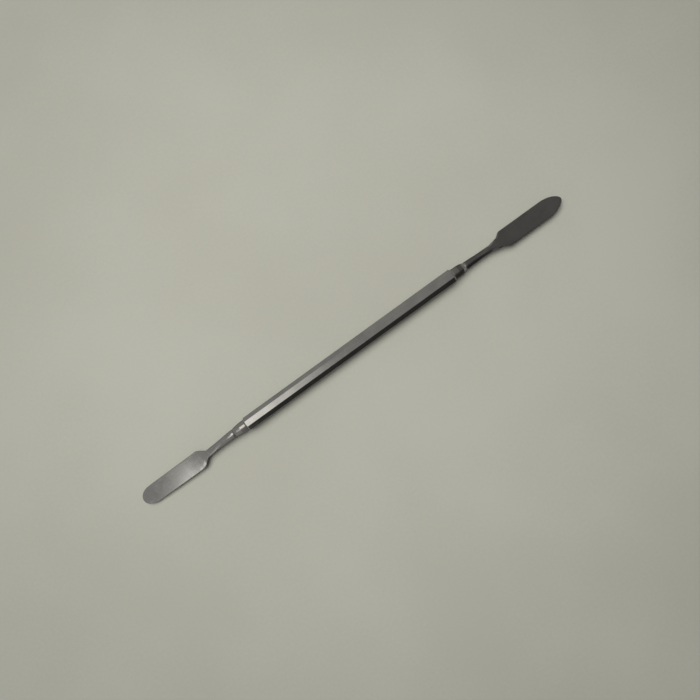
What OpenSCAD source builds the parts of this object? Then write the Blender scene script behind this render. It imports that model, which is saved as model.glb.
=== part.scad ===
// Double-ended sculpting spatula: an octagonal steel handle with a forged blade pressed into each end.
// +X runs along the tool, from the rounded blade to the pointed blade, and +Z is up.
// The origin is the centre of the handle's lowest facet, which the tool lies on.

/* [Handle] */
// Length of the octagonal bar
handle_len = 86; // [70:1:110]
// Width of the bar across opposite facets
handle_flats = 4.76; // [4.4:0.01:6.4]
// Length of the chamfer turned on each end of the bar
handle_chamfer = 0.5; // [0.2:0.05:0.8]
// Depth of the socket drilled in each end of the bar
socket_depth = 12; // [6:0.5:20]

/* [Collars] */
// Length of a collar, from the bar's end face to its mouth
collar_len = 4.8; // [3.5:0.1:7]
// Radius of a collar where it meets the bar
collar_back_r = 1.95; // [1.85:0.05:2.1]
// Radius of a collar where its mouth chamfer starts
collar_front_r = 1.74; // [1.7:0.01:1.8]
// Length of the chamfer at a collar's mouth
collar_mouth_len = 1; // [0.6:0.1:2]

/* [Blade fit] */
// Radius of the tangs inside the collars and the bar
tang_r = 1; // [0.7:0.05:1.1]
// Radial clearance between a tang and the bores it is pressed into
press_gap = 0.01; // [0.005:0.005:0.02]

/* [Rounded blade] */
// Length of the rounded blade and its shank, from the collar's mouth to the tip
rounded_len = 39; // [34:0.5:46]
// Radius of the rounded blade's shank at the collar
rounded_shank_r = 1.5; // [1.3:0.02:1.6]
// Radius of the rounded blade's shank at its thinnest
rounded_neck_r = 1.19; // [1.05:0.01:1.3]
// Width of the rounded blade at its shoulder
rounded_w = 6.5; // [5.5:0.1:9]
// Length of the rounded blade's blunt tip
rounded_tip_len = 4.2; // [3.2:0.1:8]
// How far the rounded blade's shank sinks below the handle's centreline on its way to the blade
rounded_sink = 0.56; // [0:0.02:0.6]
// How much further the rounded blade curves down, from the collar to the tip
rounded_drop = 0.76; // [0:0.02:1.3]
// How far the rounded blade stands off the handle's centreline sideways
rounded_drift = 0.6; // [0:0.05:1.5]

/* [Pointed blade] */
// Length of the pointed blade and its shank, from the collar's mouth to the tip
pointed_len = 40.3; // [36:0.1:48]
// Radius of the pointed blade's shank at the collar
pointed_shank_r = 1.36; // [1.2:0.02:1.6]
// Radius of the pointed blade's shank at its thinnest
pointed_neck_r = 1.14; // [1.05:0.01:1.2]
// Width of the pointed blade
pointed_w = 6.45; // [5.5:0.05:9]
// Length of the pointed blade's leaf-shaped tip
pointed_tip_len = 6.9; // [5:0.1:12]
// How far the pointed blade's shank sinks below the handle's centreline on its way to the blade
pointed_sink = 0; // [0:0.02:0.6]
// How much further the pointed blade curves down, from the collar to the tip
pointed_drop = 0.2; // [0:0.02:1.3]
// How far the pointed blade stands off the handle's centreline sideways
pointed_drift = 0.3; // [0:0.05:1.5]

/* [Blade section] */
// Thickness of both blades just past the shoulder
root_t = 0.95; // [0.7:0.05:1.2]
// Thickness of both blades at the tip
tip_t = 0.4; // [0.3:0.05:0.6]

/* [Hidden] */

// A true circle for every turned or drilled surface
turned_fn = 96;
// Sides of the octagonal bar
facet_count = 8;

axis_z = handle_flats / 2;
// Radius through the corners of the octagon
corner_r = axis_z / cos(180 / facet_count);
handle_end_x = handle_len / 2;
mouth_x = handle_end_x + collar_len;
bore_r = tang_r + press_gap;
// A drilled bore runs this far past the face that it opens in
cut_through = 1;
// The tang starts this deep inside the shank, so that the two are one solid
tang_root = 0.8;
// Gap between the tang's end and the bottom of its socket
tang_end_gap = 0.5;
// Chamfer on the tang's leading end
tang_lead = 0.3;
// A collar's mouth and the bar's end face stand this far proud of the piece that meets them
collar_step = 0.06;
// A collar's belly: this share of the way to its mouth chamfer, it has lost this share of its taper
belly_place = 0.6;
belly_taper = 0.24;

// Distances from the collar's mouth along each blade
rounded_shank_len = 11.6;
rounded_shoulder_len = 3.7;
pointed_shank_len = 10.3;
pointed_throat_len = 3.7;
pointed_shoulder_len = 2.6;
// The pointed blade's shoulder is this much longer on its -Y side
pointed_shoulder_lag = 1.1;
// Half width of the pointed blade's throat, where its shoulder starts
pointed_throat_half_w = 1.76;
// The rounded blade narrows to this share of its width where its tip starts
rounded_narrowing = 0.96;
// Shape of the tips: 0.5 is a half ellipse, and more is more pointed
rounded_tip_power = 0.5;
pointed_tip_power = 0.58;
// The shank is down to its thinnest at this share of its length
neck_share = 0.68;
// The sideways set starts and ends here, measured from the collar's mouth
drift_start = 1;
drift_end = 18.5;
// The shank sinks between these distances from the collar's mouth
sink_start = 0;
sink_end = 16;
// Each blade's round shank thins to the blade's thickness between the first two distances from the
// collar's mouth, and its section turns from round to flat-faced between the last two
rounded_blend = [1.6, 20.4, 1.5, 12];
pointed_blend = [9.5, 19, 7.5, 14.5];

// Points round one cross-section, and cross-sections along each stretch of a blade
ring_points = 28;
shank_rings = 12;
flare_rings = 16;
blade_rings = 8;
tip_rings = 9;
// Section exponent: 2 is a round or an ellipse, and more gives flat faces with rounded edges
round_power = 2;
flat_power = 4;
// The last cross-section stands this far round the tip, in degrees
tip_last_angle = 85;

function clamp01(t) = min(1, max(0, t));
function mix(a, b, t) = a + (b - a) * t;
// Smooth step from 0 to 1 as d runs from d0 to d1
function ease(d, d0, d1) = let (t = clamp01((d - d0) / (d1 - d0))) t * t * (3 - 2 * t);
function signed_power(v, p) = sign(v) * pow(abs(v), p);

// A blade is [[length, shank length, throat end, shoulder end, shoulder lag],
//             [shank radius, neck radius, throat half width, half width, narrowing],
//             [tip length, tip power], [drop, drift, sink], blend distances]
rounded = [
    [
        rounded_len, rounded_shank_len, rounded_shank_len,
        rounded_shank_len + rounded_shoulder_len, 0
    ],
    [rounded_shank_r, rounded_neck_r, rounded_neck_r, rounded_w / 2, rounded_narrowing],
    [rounded_tip_len, rounded_tip_power],
    [rounded_drop, rounded_drift, rounded_sink],
    rounded_blend
];
pointed = [
    [
        pointed_len, pointed_shank_len, pointed_shank_len + pointed_throat_len,
        pointed_shank_len + pointed_throat_len + pointed_shoulder_len, pointed_shoulder_lag
    ],
    [pointed_shank_r, pointed_neck_r, pointed_throat_half_w, pointed_w / 2, 1],
    [pointed_tip_len, pointed_tip_power],
    [pointed_drop, pointed_drift, pointed_sink],
    pointed_blend
];
function blade_length(b) = b[0][0];
function shank_length(b) = b[0][1];
function throat_end(b) = b[0][2];
// side is 1 for +Y and -1 for -Y
function shoulder_end(b, side) = b[0][3] + (side < 0 ? b[0][4] : 0);
function shank_r(b) = b[1][0];
function neck_r(b) = b[1][1];
function throat_half_w(b) = b[1][2];
function blade_half_w(b) = b[1][3];
function narrowing(b) = b[1][4];
function tip_start(b) = b[0][0] - b[2][0];
function tip_length(b) = b[2][0];
function tip_power(b) = b[2][1];
function drop(b) = b[3][0];
function drift(b) = b[3][1];
function sink(b) = b[3][2];
function thinning(b, d) = ease(d, b[4][0], b[4][1]);
function flatness(b, d) = ease(d, b[4][2], b[4][3]);

// Radius of the round shank at distance d from the collar's mouth
function shank_radius(b, d) = mix(shank_r(b), neck_r(b), ease(d, 0, shank_length(b) * neck_share));

// Share of the way from the shoulder to distance d1, at distance d
function past_shoulder(b, d, d1) = clamp01((d - shoulder_end(b, 1)) / (d1 - shoulder_end(b, 1)));

// Half width of the flat blade between its shoulder and its tip, where it narrows a little
function body_half_w(b, d) = blade_half_w(b) * mix(1, narrowing(b), past_shoulder(b, d, tip_start(b)));

// Half width at distance d on one side of the blade's centreline
function half_width(b, d, side) =
    d <= shank_length(b) ? shank_radius(b, d) :
    d <= throat_end(b) ? mix(neck_r(b), throat_half_w(b), ease(d, shank_length(b), throat_end(b))) :
    d <= shoulder_end(b, side) ?
        mix(throat_half_w(b), blade_half_w(b), ease(d, throat_end(b), shoulder_end(b, side))) :
    d <= tip_start(b) ? body_half_w(b, d) :
    body_half_w(b, d) * pow(max(0, 1 - pow((d - tip_start(b)) / tip_length(b), 2)), tip_power(b));

// Half thickness at distance d: the shank thins to the blade, and the blade thins to its tip
function half_thickness(b, d) =
    let (blade = mix(root_t, tip_t, past_shoulder(b, d, blade_length(b))) / 2)
    mix(shank_radius(b, d), blade, thinning(b, d));

function section_power(b, d) = mix(round_power, flat_power, flatness(b, d));
function centre_y(b, d) = -drift(b) * ease(d, drift_start, drift_end);
function centre_z(b, d) =
    axis_z - sink(b) * ease(d, sink_start, sink_end) - drop(b) * pow(d / blade_length(b), 2);

// Distances at which cross-sections stand, close together where the shape changes fast
function steps(d0, d1, n) = [for (i = [0 : n - 1]) mix(d0, d1, i / n)];
function stations(b) = concat(
    steps(0, shank_length(b), shank_rings),
    steps(shank_length(b), shoulder_end(b, -1), flare_rings),
    steps(shoulder_end(b, -1), tip_start(b), blade_rings),
    [for (i = [0 : tip_rings - 1]) tip_start(b) + tip_length(b) * sin(tip_last_angle * i / (tip_rings - 1))]
);

function section(b, d) =
    let (p = 2 / section_power(b, d), h = half_thickness(b, d))
    [for (i = [0 : ring_points - 1])
        let (turn = 360 * i / ring_points, across = cos(turn))
        [
            mouth_x + d,
            centre_y(b, d) + half_width(b, d, across) * signed_power(across, p),
            centre_z(b, d) + h * signed_power(sin(turn), p)
        ]];

// One closed skin over all the cross-sections, with a flat face at the collar and a small one at the tip
module blade_body(b) {
    rows = stations(b);
    last = len(rows) - 1;
    points = [for (d = rows) each section(b, d)];
    start_face = [for (i = [0 : ring_points - 1]) i];
    tip_face = [for (i = [ring_points - 1 : -1 : 0]) last * ring_points + i];
    side_faces = [
        for (r = [0 : last - 1], i = [0 : ring_points - 1])
            let (
                next = (i + 1) % ring_points,
                a = r * ring_points + i,
                c = r * ring_points + next
            )
            each [[a, a + ring_points, c + ring_points], [a, c + ring_points, c]]
    ];
    polyhedron(points = points, faces = concat([start_face, tip_face], side_faces), convexity = 4);
}

// Round rod along +X, from x0 to x1 on the handle's centreline
module rod(x0, x1, r) {
    translate([x0, 0, axis_z])
        rotate([0, 90, 0])
            cylinder(h = x1 - x0, r = r, $fn = turned_fn);
}

// Turned solid along +X from a profile of [distance, radius] points
module turned(profile) {
    translate([0, 0, axis_z])
        rotate([0, 90, 0])
            rotate_extrude($fn = turned_fn)
                polygon([for (p = profile) [p[1], p[0]]]);
}

// The tang runs from inside the shank, through the collar and into the bar, with a chamfered lead
module tang() {
    tang_end_x = handle_end_x - socket_depth + tang_end_gap;
    turned([
        [tang_end_x, 0],
        [tang_end_x, tang_r - tang_lead],
        [tang_end_x + tang_lead, tang_r],
        [mouth_x + tang_root, tang_r],
        [mouth_x + tang_root, 0]
    ]);
}

// A collar at the +X end: a slightly tapered barrel with a chamfered mouth, bored for the tang
module collar(mouth_r) {
    barrel_end_x = mouth_x - collar_mouth_len;
    belly_x = mix(handle_end_x, barrel_end_x, belly_place);
    belly_r = mix(collar_back_r, collar_front_r, belly_taper);
    difference() {
        turned([
            [handle_end_x, 0],
            [handle_end_x, collar_back_r],
            [belly_x, belly_r],
            [barrel_end_x, collar_front_r],
            [mouth_x, mouth_r],
            [mouth_x, 0]
        ]);
        rod(handle_end_x - cut_through, mouth_x + cut_through, bore_r);
    }
}

module octagonal_bar() {
    translate([-handle_end_x, 0, axis_z])
        rotate([0, 90, 0])
            rotate([0, 0, 180 / facet_count])
                cylinder(h = handle_len, r = corner_r, $fn = facet_count);
}

// Turned envelope that cuts a chamfer at both ends of the bar: a cone that meets the bar's corners
// handle_chamfer from each end, and stands clear of them in between
module end_chamfers() {
    end_r = collar_back_r + collar_step;
    clear_r = 2 * corner_r - end_r;
    clear_x = handle_end_x - 2 * handle_chamfer;
    turned([
        [-handle_end_x, 0],
        [-handle_end_x, end_r],
        [-clear_x, clear_r],
        [clear_x, clear_r],
        [handle_end_x, end_r],
        [handle_end_x, 0]
    ]);
}

module handle() {
    color([0.72, 0.71, 0.67])
        difference() {
            intersection() {
                octagonal_bar();
                end_chamfers();
            }
            for (end = [0, 1])
                mirror([end, 0, 0])
                    rod(handle_end_x - socket_depth, handle_end_x + cut_through, bore_r);
        }
}

module rounded_end_collar() {
    color([0.62, 0.61, 0.58])
        mirror([1, 0, 0])
            collar(rounded_shank_r + collar_step);
}

module pointed_end_collar() {
    color([0.62, 0.61, 0.58])
        collar(pointed_shank_r + collar_step);
}

module rounded_blade() {
    color([0.66, 0.66, 0.62])
        mirror([1, 0, 0]) {
            blade_body(rounded);
            tang();
        }
}

module pointed_blade() {
    color([0.66, 0.66, 0.62]) {
        blade_body(pointed);
        tang();
    }
}

handle();
rounded_end_collar();
pointed_end_collar();
rounded_blade();
pointed_blade();
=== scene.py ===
"""Double-ended sculpting spatula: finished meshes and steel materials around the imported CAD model.

Lengths in the shape functions are millimetres in the row frame (+X towards the pointed blade, +Z up,
z = 0 under the handle's lowest facet), and MM turns them into metres when a mesh is made.
"""
import math

import bmesh
import bpy
from mathutils import Matrix, Vector


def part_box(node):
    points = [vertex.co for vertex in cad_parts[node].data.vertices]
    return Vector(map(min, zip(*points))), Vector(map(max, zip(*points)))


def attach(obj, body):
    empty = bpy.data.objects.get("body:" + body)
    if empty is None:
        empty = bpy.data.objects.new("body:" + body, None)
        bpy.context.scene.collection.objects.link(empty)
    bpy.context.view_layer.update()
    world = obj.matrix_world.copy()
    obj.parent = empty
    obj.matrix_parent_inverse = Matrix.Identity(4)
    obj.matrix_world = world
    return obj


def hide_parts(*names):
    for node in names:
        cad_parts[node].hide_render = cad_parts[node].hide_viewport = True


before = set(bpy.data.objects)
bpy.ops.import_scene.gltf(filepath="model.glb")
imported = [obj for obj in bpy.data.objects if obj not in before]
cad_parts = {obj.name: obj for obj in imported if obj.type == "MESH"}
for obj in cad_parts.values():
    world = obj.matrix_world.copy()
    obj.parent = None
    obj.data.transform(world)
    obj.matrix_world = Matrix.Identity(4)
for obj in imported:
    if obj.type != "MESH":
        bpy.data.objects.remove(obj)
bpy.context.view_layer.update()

MM = 0.001
# Points of a mesh closer than this, in millimetres, become one
WELD = 0.0002


# ---------------------------------------------------------------- sizes, from the CAD frame

def node_box(name):
    """(lowest corner, highest corner) of a CAD node, in millimetres."""
    low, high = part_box(name)
    return low / MM, high / MM


HANDLE_LOW, HANDLE_HIGH = node_box("handle")
AXIS_Z = (HANDLE_LOW.z + HANDLE_HIGH.z) / 2
FLAT_R = (HANDLE_HIGH.z - HANDLE_LOW.z) / 2
HANDLE_END = HANDLE_HIGH.x

COLLAR_LOW, COLLAR_HIGH = node_box("pointed_end_collar")
COLLAR_BACK_R = (COLLAR_HIGH.y - COLLAR_LOW.y) / 2
MOUTH_X = COLLAR_HIGH.x
COLLAR_FRONT_R = 1.74
COLLAR_MOUTH_LEN = 1.0
# The ledge between the collar and the part beside it, at both of its ends
COLLAR_STEP = 0.06
# How far along the barrel its taper steepens, and how much of the taper is done by there
BELLY_PLACE, BELLY_TAPER = 0.6, 0.24

# The tang, in the collar's bore and the handle's socket
TANG_R = 1.0
BORE_R = 1.01
SOCKET_DEPTH = 12.0
TANG_END_GAP = 0.5

# Distances along a working end run from the collar's mouth, at 0, to the tip, at length.
# The outline: a round shank (shank_r to neck_r) up to shank, then a throat, a shoulder that comes later by
# lag on the -Y side, a body that keeps the share narrowing of half_w, and a tip rounded by tip_power.
# The height: drop and sink lower the centre line, the section thins from fall_start to fall_end, and it
# turns from round to flat from flat_start to flat_end. bevel eases the -Y shoulder's edge down, and drift
# carries the blade to -Y.
ROUNDED = {
    "length": -node_box("rounded_blade")[0].x - MOUTH_X,
    "shank_r": 1.5,
    "neck_r": 1.19,
    "half_w": 3.25,
    "shank": 11.6,
    "throat": 11.6,
    "throat_half_w": 1.19,
    "shoulder": 15.3,
    "lag": 0.0,
    "narrowing": 0.96,
    "tip": 4.2,
    "tip_power": 0.5,
    "drop": 0.76,
    "sink": 0.56,
    "fall_start": 1.6,
    "fall_end": 20.4,
    "flat_start": 1.5,
    "flat_end": 12.0,
    "bevel": 0.11,
    "drift": 0.6,
}
POINTED = {
    "length": node_box("pointed_blade")[1].x - MOUTH_X,
    "shank_r": 1.36,
    "neck_r": 1.14,
    "half_w": 3.225,
    "shank": 10.3,
    "throat": 14.0,
    "throat_half_w": 1.76,
    "shoulder": 16.6,
    "lag": 1.1,
    "narrowing": 1.0,
    "tip": 6.9,
    "tip_power": 0.58,
    "drop": 0.2,
    "sink": 0.0,
    "fall_start": 9.5,
    "fall_end": 19.0,
    "flat_start": 7.5,
    "flat_end": 14.5,
    "bevel": 0.05,
    "drift": 0.3,
}
# Share of the shank over which it narrows to the neck
NECK_SHARE = 0.68
DRIFT_START, DRIFT_END = 1.0, 18.5
SINK_START, SINK_END = 0.0, 16.0
# Thickness of the blade at its shoulder and at its tip, and the share of it lost to the crown at the edges
ROOT_T, TIP_T = 0.95, 0.4
CROWN_SHARE = 0.4
# Radius of the blade's edges, or this share of the extra thickness where the section is still thick
EDGE_ROUND = 0.12
EDGE_SHARE = 0.7
# The -Y shoulder's bevel: its reach in from the edge, and the distances past the shoulder over which it
# rises and falls
BEVEL_REACH = 1.35
BEVEL_RISE = (-2.8, -0.6)
BEVEL_FALL = (-0.2, 1.6)


# ---------------------------------------------------------------- camera

# The tool lies 35.9 degrees up from the picture's horizontal, seen from above and a little from -Y
ROLL = math.radians(35.867)
TILT = math.radians(2)
CAMERA_DISTANCE = 0.169
AIM = Vector((0.0001, -0.00018, 0.00238))
# Focal length as a share of the sensor's width, which is in millimetres
FOCAL_SHARE = 5 / 7
SENSOR = 36.0
# Nearest and farthest distance that the camera draws, in metres
CLIP = (0.01, 20)


def make_camera():
    data = bpy.data.cameras.new("camera")
    data.sensor_width = SENSOR
    data.lens = SENSOR * FOCAL_SHARE
    data.clip_start, data.clip_end = CLIP
    camera = bpy.data.objects.new("camera", data)
    turn = Matrix.Rotation(TILT, 4, "X") @ Matrix.Rotation(-ROLL, 4, "Z")
    away = turn.to_3x3() @ Vector((0, 0, CAMERA_DISTANCE))
    camera.matrix_world = Matrix.Translation(AIM + away) @ turn
    bpy.context.scene.collection.objects.link(camera)
    bpy.context.scene.camera = camera


# ---------------------------------------------------------------- mesh helpers

# A rounded corner takes at most this share of the lines that meet at it
CORNER_LIMIT = 0.45


def mix(a, b, t):
    return a + (b - a) * t


def clamp01(t):
    return min(1.0, max(0.0, t))


def ease(d, d0, d1):
    """Smooth step from 0 to 1 as d runs from d0 to d1."""
    t = clamp01((d - d0) / (d1 - d0))
    return t * t * (3 - 2 * t)


def skin(name, rings, closed=False):
    """A mesh object from rings of (x, y, z) points in millimetres, with fans over the two end rings."""
    bm = bmesh.new()
    loops = [[bm.verts.new(Vector(p) * MM) for p in ring] for ring in rings]
    pairs = list(zip(loops, loops[1:]))
    if closed:
        pairs.append((loops[-1], loops[0]))
    count = len(rings[0])
    for first, second in pairs:
        for i in range(count):
            j = (i + 1) % count
            bm.faces.new((first[i], first[j], second[j], second[i]))
    if not closed:
        for loop in (loops[0], loops[-1]):
            middle = sum((v.co for v in loop), Vector()) / count
            hub = bm.verts.new(middle)
            for i in range(count):
                bm.faces.new((loop[i], loop[(i + 1) % count], hub))
    bmesh.ops.remove_doubles(bm, verts=bm.verts, dist=WELD * MM)
    bmesh.ops.recalc_face_normals(bm, faces=bm.faces)
    mesh = bpy.data.meshes.new(name)
    bm.to_mesh(mesh)
    bm.free()
    mesh.shade_smooth()
    piece = bpy.data.objects.new(name, mesh)
    bpy.context.scene.collection.objects.link(piece)
    return piece


def circle(x, radius, turns):
    """Points round the handle's axis at the angles in turns."""
    return [(x, radius * math.cos(a), AXIS_Z + radius * math.sin(a)) for a in turns]


def arc_profile(points, radius, steps=4):
    """A polyline of (x, r) points with each inner corner rounded to about the given radius."""
    out = [points[0]]
    for before, corner, after in zip(points, points[1:], points[2:]):
        p0, p1, p2 = Vector(before), Vector(corner), Vector(after)
        reach = min(radius, (p1 - p0).length * CORNER_LIMIT, (p2 - p1).length * CORNER_LIMIT)
        start = p1 + (p0 - p1).normalized() * reach
        end = p1 + (p2 - p1).normalized() * reach
        for i in range(steps + 1):
            t = i / steps
            out.append(tuple(start.lerp(p1, t).lerp(p1.lerp(end, t), t)))
    out.append(points[-1])
    return out


# ---------------------------------------------------------------- handle

FACETS = 8
CORNER_ROUND = 0.13
CORNER_STEPS = 5
# Places of the points over a flat, from -1 to 1; the outer ones hold the flat's shading flat
FLAT_SPOTS = (-0.985, -0.8, -0.4, 0.0, 0.4, 0.8, 0.985)
HANDLE_CHAMFER = 0.5
# Width over which the chamfer runs into the flats
CHAMFER_SOFT = 0.04
CORNER_R = FLAT_R / math.cos(math.pi / FACETS)
HANDLE_END_R = COLLAR_BACK_R + COLLAR_STEP
# Round edge between the end face and the chamfer, and the broken edge of the socket
END_EDGE = 0.05
SOCKET_BREAK = 0.12
# Rings of the bar: the first one's place, the length with close rings, and the two counts
FIRST_BAR_RING = 0.03
CLOSE_LEN = 0.75
CLOSE_RINGS = 16
LONG_RINGS = 36


def octagon():
    """The bar's section as (y, z) points about its axis: flats with a small radius on every corner."""
    half = math.pi / FACETS
    side = FLAT_R * math.tan(half)
    trim = CORNER_ROUND * math.tan(half)
    hub = (FLAT_R - CORNER_ROUND) / math.cos(half)
    points = []
    for k in range(FACETS):
        face = 2 * half * k
        out = Vector((math.cos(face), math.sin(face)))
        along = Vector((-out.y, out.x))
        for spot in FLAT_SPOTS:
            points.append(out * FLAT_R + along * (side - trim) * spot)
        corner = face + half
        centre = Vector((math.cos(corner), math.sin(corner))) * hub
        for i in range(CORNER_STEPS + 1):
            a = face + 2 * half * i / CORNER_STEPS
            points.append(centre + Vector((math.cos(a), math.sin(a))) * CORNER_ROUND)
    return points


def soft_min(a, b, width):
    """The lower of a and b, with the crossing rounded over width."""
    h = clamp01(0.5 + 0.5 * (b - a) / width)
    return mix(b, a, h) - width * h * (1 - h)


def bar_ring(section, x):
    """The bar's section at x, cut back near its ends by the turned chamfer."""
    from_end = HANDLE_END - abs(x)
    cone = HANDLE_END_R + (CORNER_R - HANDLE_END_R) * from_end / HANDLE_CHAMFER
    ring = []
    for p in section:
        r = soft_min(p.length, cone, CHAMFER_SOFT)
        q = p.normalized() * r
        ring.append((x, q.x, AXIS_Z + q.y))
    return ring


def make_handle():
    """The octagonal bar with its two end faces and blind sockets."""
    section = octagon()
    turns = [math.atan2(p.y, p.x) for p in section]
    end_profile = arc_profile(
        [
            (HANDLE_END - SOCKET_DEPTH, BORE_R),
            (HANDLE_END - SOCKET_BREAK, BORE_R),
            (HANDLE_END, BORE_R + SOCKET_BREAK),
            (HANDLE_END, HANDLE_END_R - END_EDGE),
        ],
        END_EDGE,
    )
    outer = HANDLE_END - FIRST_BAR_RING
    inner = outer - CLOSE_LEN
    near_end = [mix(outer, inner, i / CLOSE_RINGS) for i in range(CLOSE_RINGS + 1)]
    middle = [mix(inner, -inner, i / LONG_RINGS) for i in range(1, LONG_RINGS)]
    rings = [circle(x, r, turns) for x, r in end_profile]
    rings += [bar_ring(section, x) for x in near_end + middle]
    rings += [bar_ring(section, -x) for x in reversed(near_end)]
    rings += [circle(-x, r, turns) for x, r in reversed(end_profile)]
    return skin("octagonal_handle", rings)


# ---------------------------------------------------------------- collars

COLLAR_POINTS = 96
COLLAR_EDGE = 0.1
# Largest gap between two rings of a collar
COLLAR_RING_GAP = 0.35


def make_collar(name, end, mouth_r):
    """A turned collar at the +X end (end = 1) or the -X end (end = -1), bored for the tang."""
    barrel_end = MOUTH_X - COLLAR_MOUTH_LEN
    belly = (mix(HANDLE_END, barrel_end, BELLY_PLACE), mix(COLLAR_BACK_R, COLLAR_FRONT_R, BELLY_TAPER))
    profile = [
        (HANDLE_END, (BORE_R + COLLAR_BACK_R) / 2),
        (HANDLE_END, COLLAR_BACK_R),
        belly,
        (barrel_end, COLLAR_FRONT_R),
        (MOUTH_X, mouth_r),
        (MOUTH_X, BORE_R),
        (HANDLE_END, BORE_R),
        (HANDLE_END, (BORE_R + COLLAR_BACK_R) / 2),
    ]
    turns = [2 * math.pi * i / COLLAR_POINTS for i in range(COLLAR_POINTS)]
    rounded = arc_profile(profile, COLLAR_EDGE)[:-1]
    dense = []
    for (x0, r0), (x1, r1) in zip(rounded, rounded[1:] + rounded[:1]):
        parts = max(1, round(abs(x1 - x0) / COLLAR_RING_GAP))
        dense += [(mix(x0, x1, i / parts), mix(r0, r1, i / parts)) for i in range(parts)]
    rings = [circle(end * x, r, turns) for x, r in dense]
    return skin(name, rings, closed=True)


# ---------------------------------------------------------------- blades

# Steps across a section, once over the top and once underneath
SPAN_STEPS = 40
# Rings over the shank, from its end to just past the shoulder, over the body and over the tip
SHANK_RINGS, SHOULDER_RINGS, BODY_RINGS, TIP_RINGS = 30, 60, 40, 40
# The close rings at the shoulder run on for this length
PAST_SHOULDER = 1.6
# The tip's rings follow a quarter turn, short of the last degree where the outline closes
TIP_SWEEP = math.radians(89)
# Chamfer on the tang's end, the broken edge of the shank at the collar, and the rounding of both
TANG_LEAD = 0.3
SHANK_BREAK = 0.04
TANG_EDGE = 0.02
# The first section is this far from the collar's mouth, clear of the shank's broken edge
FIRST_SECTION = 0.03


def shank_radius(b, d):
    return mix(b["shank_r"], b["neck_r"], ease(d, 0, b["shank"] * NECK_SHARE))


def past_shoulder(b, d, d1):
    """Share of the way from the shoulder to d1, from 0 to 1."""
    return clamp01((d - b["shoulder"]) / (d1 - b["shoulder"]))


def body_half_width(b, d):
    """Half width of the blade's body, were it to run on to the tip."""
    return b["half_w"] * mix(1, b["narrowing"], past_shoulder(b, d, b["length"] - b["tip"]))


def half_width(b, d, side):
    """Half width at distance d from the collar's mouth, for side 1 (+Y) or -1 (-Y)."""
    shoulder = b["shoulder"] + (b["lag"] if side < 0 else 0)
    tip_start = b["length"] - b["tip"]
    if d <= b["shank"]:
        return shank_radius(b, d)
    if d <= b["throat"]:
        return mix(b["neck_r"], b["throat_half_w"], ease(d, b["shank"], b["throat"]))
    if d <= shoulder:
        return mix(b["throat_half_w"], b["half_w"], ease(d, b["throat"], shoulder))
    if d <= tip_start:
        return body_half_width(b, d)
    left = max(0.0, 1 - ((d - tip_start) / b["tip"]) ** 2)
    return body_half_width(b, d) * left ** b["tip_power"]


def flatness(b, d):
    """0 on the round shank and 1 on the flat blade."""
    return ease(d, b["flat_start"], b["flat_end"])


def edge_distance(b, d, across):
    """Distance from a point of the face to the blade's outline, square to the outline."""
    tip_start = b["length"] - b["tip"]
    if d > tip_start:
        t = (d - tip_start) / b["tip"]
        left = max(1e-6, 1 - t * t)
        power = 1 / b["tip_power"]
        share = abs(across) * left ** b["tip_power"]
        inside = left - share ** power
        steep = power * share ** (power - 1) / body_half_width(b, d)
        return max(0.0, inside) / math.hypot(2 * t / b["tip"], steep)
    step = 0.02
    slope = (half_width(b, d + step, across) - half_width(b, d - step, across)) / (2 * step)
    return half_width(b, d, across) * (1 - abs(across)) / math.hypot(1, slope)


def shoulder_bevel(b, d, across, inset):
    """How far the face is eased down towards the -Y shoulder's edge."""
    if across > 0:
        return 0.0
    past = d - b["shoulder"] - b["lag"]
    near = ease(past, *BEVEL_RISE) * (1 - ease(past, *BEVEL_FALL))
    return near * b["bevel"] * clamp01(1 - inset / BEVEL_REACH) ** 2


def face_height(b, d, across):
    """Half thickness of the section at distance d, at across from -1 to 1 over its width."""
    flat = flatness(b, d)
    blade = mix(ROOT_T, TIP_T, past_shoulder(b, d, b["length"])) / 2
    middle = mix(shank_radius(b, d), blade, ease(d, b["fall_start"], b["fall_end"]))
    round_part = middle * math.sqrt(max(0.0, 1 - across * across))
    inset = edge_distance(b, d, across)
    off_centre = across * half_width(b, d, across) / b["half_w"]
    crown = middle - CROWN_SHARE * blade * off_centre ** 2 - shoulder_bevel(b, d, across, inset)
    edge_r = max(EDGE_ROUND, EDGE_SHARE * (middle - blade))
    rim = clamp01(inset / edge_r)
    crown -= edge_r * (1 - math.sqrt(1 - (1 - rim) ** 2))
    return mix(round_part, crown, flat)


def blade_section(b, d, end):
    """Ring of points round the working end at distance d: over the top to -Y, and back underneath."""
    centre_y = -b["drift"] * ease(d, DRIFT_START, DRIFT_END)
    centre_z = AXIS_Z - b["drop"] * (d / b["length"]) ** 2 - b["sink"] * ease(d, SINK_START, SINK_END)
    top, under = [], []
    for i in range(SPAN_STEPS + 1):
        across = math.cos(math.pi * i / SPAN_STEPS)
        y = centre_y + half_width(b, d, across) * across
        h = face_height(b, d, across)
        top.append((end * (MOUTH_X + d), y, centre_z + h))
        under.append((end * (MOUTH_X + d), y, centre_z - h))
    return top + under[::-1]


def blade_stations(b):
    """Distances of the rings, closer over the shoulder and towards the tip's end."""
    tip_start = b["length"] - b["tip"]
    root = b["shoulder"] + b["lag"] + PAST_SHOULDER
    spans = [
        (0, b["shank"], SHANK_RINGS),
        (b["shank"], root, SHOULDER_RINGS),
        (root, tip_start, BODY_RINGS),
    ]
    stations = [mix(d0, d1, i / count) for d0, d1, count in spans for i in range(count)]
    for i in range(TIP_RINGS + 1):
        stations.append(tip_start + b["tip"] * math.sin(TIP_SWEEP * i / TIP_RINGS))
    return stations


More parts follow.
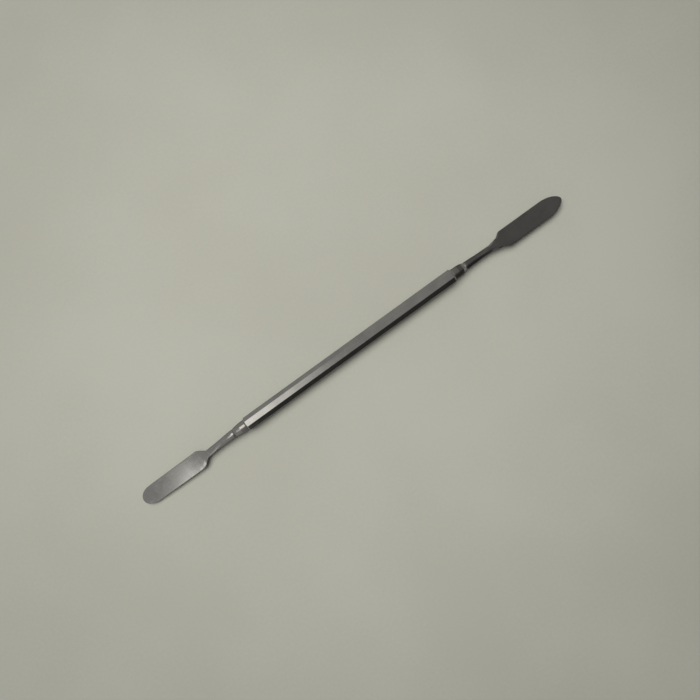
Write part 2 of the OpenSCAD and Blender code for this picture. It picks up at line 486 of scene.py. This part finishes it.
def make_blade(name, b, end):
    """A blade with its shank, and its tang inside the collar and the handle."""
    tang_end = HANDLE_END - SOCKET_DEPTH + TANG_END_GAP
    half_turn = [math.pi * i / SPAN_STEPS for i in range(SPAN_STEPS + 1)]
    turns = half_turn + [-a for a in reversed(half_turn)]
    tang = arc_profile(
        [
            (tang_end, TANG_R - TANG_LEAD),
            (tang_end + TANG_LEAD, TANG_R),
            (MOUTH_X, TANG_R),
            (MOUTH_X, b["shank_r"] - SHANK_BREAK),
            (MOUTH_X + SHANK_BREAK, b["shank_r"]),
        ],
        TANG_EDGE,
        steps=2,
    )
    rings = [circle(end * x, r, turns) for x, r in tang[:-1]]
    rings += [blade_section(b, d, end) for d in blade_stations(b) if d > FIRST_SECTION]
    return skin(name, rings)


# ---------------------------------------------------------------- materials

class Nodes:
    """Short calls that add and join shader nodes."""

    def __init__(self, tree):
        self.tree = tree
        tree.nodes.clear()

    def add(self, kind, **settings):
        node = self.tree.nodes.new(kind)
        for key, value in settings.items():
            setattr(node, key, value)
        return node

    def link(self, output, socket):
        self.tree.links.new(output, socket)

    def put(self, socket, value):
        """Joins value to a socket where it is an output, and sets it where it is a constant."""
        if isinstance(value, bpy.types.NodeSocket):
            self.link(value, socket)
        else:
            socket.default_value = value

    def math(self, operation, a, b=0.0):
        node = self.add("ShaderNodeMath", operation=operation)
        self.put(node.inputs[0], a)
        self.put(node.inputs[1], b)
        return node.outputs[0]

    def product(self, first, *others):
        """Multiplies an output by each of the others, outputs or constants, in turn."""
        for other in others:
            first = self.math("MULTIPLY", first, other)
        return first

    def spread(self, value, low, high, to_low=0.0, to_high=1.0, smooth=True):
        """Maps value from low..high to to_low..to_high, clamped."""
        node = self.add("ShaderNodeMapRange", clamp=True)
        node.interpolation_type = "SMOOTHSTEP" if smooth else "LINEAR"
        for socket, v in zip(node.inputs, (value, low, high, to_low, to_high)):
            self.put(socket, v)
        return node.outputs[0]

    def scaled(self, vector, scale):
        node = self.add("ShaderNodeVectorMath", operation="MULTIPLY")
        self.link(vector, node.inputs[0])
        node.inputs[1].default_value = scale
        return node.outputs[0]

    def scaled_by(self, vector, factor):
        node = self.add("ShaderNodeVectorMath", operation="SCALE")
        self.link(vector, node.inputs[0])
        self.link(factor, node.inputs["Scale"])
        return node.outputs[0]

    def noise(self, vector, scale=1.0, detail=2.0, roughness=0.5):
        node = self.add("ShaderNodeTexNoise")
        self.link(vector, node.inputs["Vector"])
        node.inputs["Scale"].default_value = scale
        node.inputs["Detail"].default_value = detail
        node.inputs["Roughness"].default_value = roughness
        return node.outputs["Fac"]

    def colours(self, fac, low, high):
        node = self.add("ShaderNodeMix", data_type="RGBA")
        self.put(node.inputs[0], fac)
        node.inputs[6].default_value = (*low, 1)
        node.inputs[7].default_value = (*high, 1)
        return node.outputs[2]

    def bump(self, height, distance, strength=1.0, normal=None):
        node = self.add("ShaderNodeBump")
        node.inputs["Distance"].default_value = distance
        node.inputs["Strength"].default_value = strength
        self.link(height, node.inputs["Height"])
        if normal is not None:
            self.link(normal, node.inputs["Normal"])
        return node.outputs["Normal"]


# Coarse marks against the fine ones, in scale and depth; smudges in depth; roughness that smudges and
# pits add
COARSE_SCALE = 0.3
COARSE_DEPTH = 1.6
SMUDGE_DEPTH = 0.8
SMUDGE_ROUGH = 0.07
PIT_ROUGH = 0.1


def steel(name, dark, light, rough, grain, streak, anisotropy, turned=False):
    """Worked steel.

    dark and light are the ends of its colour, and rough those of its roughness. grain is the scale of the
    working marks along x, y and z per millimetre, and streak their depth in millimetres. A turned piece
    has its marks round the X axis instead of along it.
    """
    material = bpy.data.materials.new(name)
    material.use_nodes = True
    n = Nodes(material.node_tree)
    place = n.add("ShaderNodeTexCoord").outputs["Object"]
    mm = n.scaled(place, (1 / MM, 1 / MM, 1 / MM))
    # Fine and coarse working marks, slow changes of tone, handling smudges and small dull pits
    marks = n.noise(n.scaled(mm, grain), detail=4, roughness=0.6)
    coarse = n.noise(n.scaled(mm, [g * COARSE_SCALE for g in grain]), detail=2)
    cloud = n.noise(mm, scale=0.22, detail=3)
    smudge = n.noise(mm, scale=0.7, detail=5, roughness=0.62)
    pits = n.spread(n.noise(mm, scale=5.5, detail=2), 0.70, 0.78)

    tone = n.math("ADD", n.product(marks, 0.5), n.product(cloud, 0.5))
    colour = n.colours(n.spread(tone, 0.32, 0.68), dark, light)

    smooth, dull = rough
    base = n.spread(marks, 0.3, 0.7, smooth, dull, smooth=False)
    worn = n.product(n.spread(smudge, 0.5, 0.68), SMUDGE_ROUGH)
    roughness = n.math("ADD", n.math("ADD", base, worn), n.product(pits, PIT_ROUGH))

    normal = n.bump(marks, streak * MM)
    normal = n.bump(coarse, streak * COARSE_DEPTH * MM, normal=normal)
    normal = n.bump(smudge, streak * SMUDGE_DEPTH * MM, strength=0.5, normal=normal)

    shader = n.add("ShaderNodeBsdfPrincipled")
    shader.inputs["Metallic"].default_value = 1.0
    shader.inputs["Anisotropic"].default_value = anisotropy
    shader.inputs["Anisotropic Rotation"].default_value = 0.25 if turned else 0.0
    n.link(colour, shader.inputs["Base Color"])
    n.link(roughness, shader.inputs["Roughness"])
    n.link(normal, shader.inputs["Normal"])
    tangent = n.add("ShaderNodeTangent", direction_type="RADIAL", axis="X")
    n.link(tangent.outputs[0], shader.inputs["Tangent"])
    out = n.add("ShaderNodeOutputMaterial")
    n.link(shader.outputs[0], out.inputs[0])
    return material


def floor_material():
    """Pale matt tabletop with a very faint mottling, and painted light fall-off: its colour is a little
    darker away from the tool.
    """
    material = bpy.data.materials.new("pale_table")
    material.use_nodes = True
    n = Nodes(material.node_tree)
    place = n.add("ShaderNodeTexCoord").outputs["Object"]
    broad = n.noise(place, scale=14, detail=3)
    fine = n.noise(place, scale=900, detail=3, roughness=0.6)
    tone = n.math("ADD", n.product(broad, 0.7), n.product(fine, 0.3))
    paper = n.colours(n.spread(tone, 0.35, 0.65), (0.375, 0.373, 0.325), (0.40, 0.40, 0.352))
    reach = n.add("ShaderNodeVectorMath", operation="LENGTH")
    n.link(place, reach.inputs[0])
    # Painted light fall-off: the colour goes from full at 50 mm to 0.8 at 200 mm from the tool, in place of
    # the lamp's own fall-off
    painted_light_falloff = n.spread(reach.outputs["Value"], 0.05, 0.2, 1.0, 0.8)
    colour = n.scaled_by(paper, painted_light_falloff)
    shader = n.add("ShaderNodeBsdfPrincipled")
    shader.inputs["Roughness"].default_value = 0.85
    shader.inputs["Specular IOR Level"].default_value = 0.2
    n.link(colour, shader.inputs["Base Color"])
    out = n.add("ShaderNodeOutputMaterial")
    n.link(shader.outputs[0], out.inputs[0])
    return material


# ---------------------------------------------------------------- stage and light

# The table top: half its width, and the gap that keeps it off the handle's lowest facet, in metres
TABLE_HALF = 0.9
TABLE_GAP = 0.00002

# The world's colour as the camera sees it, and the tint of the light that it gives
BACKDROP = (0.37, 0.37, 0.335, 1)
ROOM_TINT = (1.0, 0.985, 0.95, 1)
# Limits of a light in the world are the x, y or z of unit vectors that point at it. The panel's core
# ends here towards -X, and its halo begins.
CORE_EDGE = (-0.37, -0.33)


def make_floor():
    """The table top, kept out of the steel's reflections, which come from the world alone."""
    bm = bmesh.new()
    bmesh.ops.create_grid(bm, x_segments=8, y_segments=8, size=TABLE_HALF)
    mesh = bpy.data.meshes.new("table_top")
    bm.to_mesh(mesh)
    bm.free()
    floor = bpy.data.objects.new("table_top", mesh)
    bpy.context.scene.collection.objects.link(floor)
    floor.location.z = -TABLE_GAP
    floor.data.materials.append(floor_material())
    floor.visible_glossy = False


def make_key():
    """Soft key light from +Y, which throws the tool's shadow to -Y."""
    data = bpy.data.lights.new("key", "AREA")
    data.shape = "RECTANGLE"
    data.size = 0.9
    data.size_y = 0.62
    data.energy = 9.0
    data.color = (1.0, 0.995, 0.97)
    key = bpy.data.objects.new("key", data)
    key.location = (-0.12, 0.33, 0.8)
    direction = Vector((0, 0, 0)) - key.location
    key.rotation_euler = direction.to_track_quat("-Z", "Y").to_euler()
    key.visible_glossy = False
    bpy.context.scene.collection.objects.link(key)


def room_light(n, x, y, z):
    """The room: grey to +Y and -X, dark to -Y and +X but for a glow at the far +X end, dimmer below."""
    dark = n.spread(x, -0.36, -0.22, 0.26, 0.03)
    sides = n.spread(y, -0.85, 0.02, dark, 0.27)
    far = n.spread(x, 0.235, 0.335, 1.0, 0.36)
    walls = n.math("ADD", n.product(sides, far), n.spread(x, 0.6, 0.9, 0.0, 0.22))
    return n.product(walls, n.spread(z, -0.7, -0.15, 0.35, 1.0))


def low_light(n, x, y, z):
    """The least light from low down: the room's ends, the table beyond and beneath, and the -Y wall."""
    off_centre = n.math("ABSOLUTE", x)
    ends = n.product(n.spread(off_centre, 0.55, 0.7, 0.0, 0.3), n.spread(z, 0.35, 0.6, 1.0, 0.0))
    beyond = n.product(n.spread(off_centre, 0.37, 0.47, 0.0, 0.2), n.spread(z, -0.15, 0.1, 1.0, 0.0))
    table = n.product(n.spread(z, -0.45, -0.1, 0.22, 0.0), n.spread(z, -0.9, -0.6))
    wall = n.product(n.spread(y, -0.6, -0.3, 0.14, 0.0), n.spread(z, 0.05, 0.25))
    near = n.product(n.math("MAXIMUM", table, wall), n.spread(x, 0.12, 0.3, 1.0, 0.2))
    return n.math("MAXIMUM", n.math("MAXIMUM", ends, beyond), near)


def panel_light(n, x, y, z):
    """The bright panel overhead: a core that is brightest towards -X, and a softer halo beyond its edge."""
    core = n.product(
        n.spread(x, *CORE_EDGE),
        n.spread(x, -0.33, -0.035, 1.25, 0.0, smooth=False),
        n.spread(y, -0.42, -0.08),
        n.spread(y, 0.38, 0.58, 1.0, 0.0),
    )
    halo = n.product(
        n.spread(x, -0.50, -0.43),
        n.spread(x, *CORE_EDGE, 1.0, 0.0),
        n.spread(y, -0.46, -0.26),
        n.spread(y, 0.32, 0.52, 1.0, 0.0),
        n.spread(y, -0.16, 0.24, 0.78, 0.08, smooth=False),
    )
    return n.product(n.math("ADD", core, halo), n.spread(z, 0.0, 0.2))


def make_world():
    """Light by direction, which the steel reflects; the camera itself sees a plain backdrop."""
    world = bpy.data.worlds.new("studio")
    bpy.context.scene.world = world
    world.use_nodes = True
    n = Nodes(world.node_tree)
    way = n.add("ShaderNodeTexCoord").outputs["Generated"]
    split = n.add("ShaderNodeSeparateXYZ")
    n.link(way, split.inputs[0])
    x, y, z = split.outputs
    room = n.math("MAXIMUM", room_light(n, x, y, z), low_light(n, x, y, z))
    light = n.math("ADD", room, panel_light(n, x, y, z))
    backdrop = n.add("ShaderNodeBackground")
    backdrop.inputs["Color"].default_value = BACKDROP
    background = n.add("ShaderNodeBackground")
    background.inputs["Color"].default_value = ROOM_TINT
    n.link(light, background.inputs["Strength"])
    seen = n.add("ShaderNodeMixShader")
    n.link(n.add("ShaderNodeLightPath").outputs["Is Camera Ray"], seen.inputs[0])
    n.link(background.outputs[0], seen.inputs[1])
    n.link(backdrop.outputs[0], seen.inputs[2])
    out = n.add("ShaderNodeOutputWorld")
    n.link(seen.outputs[0], out.inputs[0])


# ---------------------------------------------------------------- the scene

def finish_piece(piece, material, node):
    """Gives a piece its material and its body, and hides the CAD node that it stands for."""
    piece.data.materials.append(material)
    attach(piece, "root")
    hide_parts(node)


make_camera()
bpy.context.scene.view_settings.view_transform = "Standard"
make_floor()
make_key()
make_world()

handle_steel = steel(
    "drawn_steel",
    dark=(0.50, 0.49, 0.47),
    light=(0.61, 0.60, 0.57),
    rough=(0.09, 0.16),
    grain=(0.12, 9, 9),
    streak=0.0015,
    anisotropy=0.2,
)
collar_steel = steel(
    "turned_steel",
    dark=(0.48, 0.47, 0.44),
    light=(0.60, 0.59, 0.55),
    rough=(0.12, 0.20),
    grain=(11, 0.4, 0.4),
    streak=0.0015,
    anisotropy=0.2,
    turned=True,
)
blade_steel = steel(
    "ground_steel",
    dark=(0.50, 0.49, 0.47),
    light=(0.60, 0.59, 0.57),
    rough=(0.09, 0.16),
    grain=(0.35, 7, 3),
    streak=0.0022,
    anisotropy=0.3,
)

finish_piece(make_handle(), handle_steel, "handle")
for label, end, spec in (("rounded", -1, ROUNDED), ("pointed", 1, POINTED)):
    collar = make_collar(label + "_collar", end, spec["shank_r"] + COLLAR_STEP)
    finish_piece(collar, collar_steel, label + "_end_collar")
    blade = make_blade(label + "_spatula_blade", spec, end)
    finish_piece(blade, blade_steel, label + "_blade")
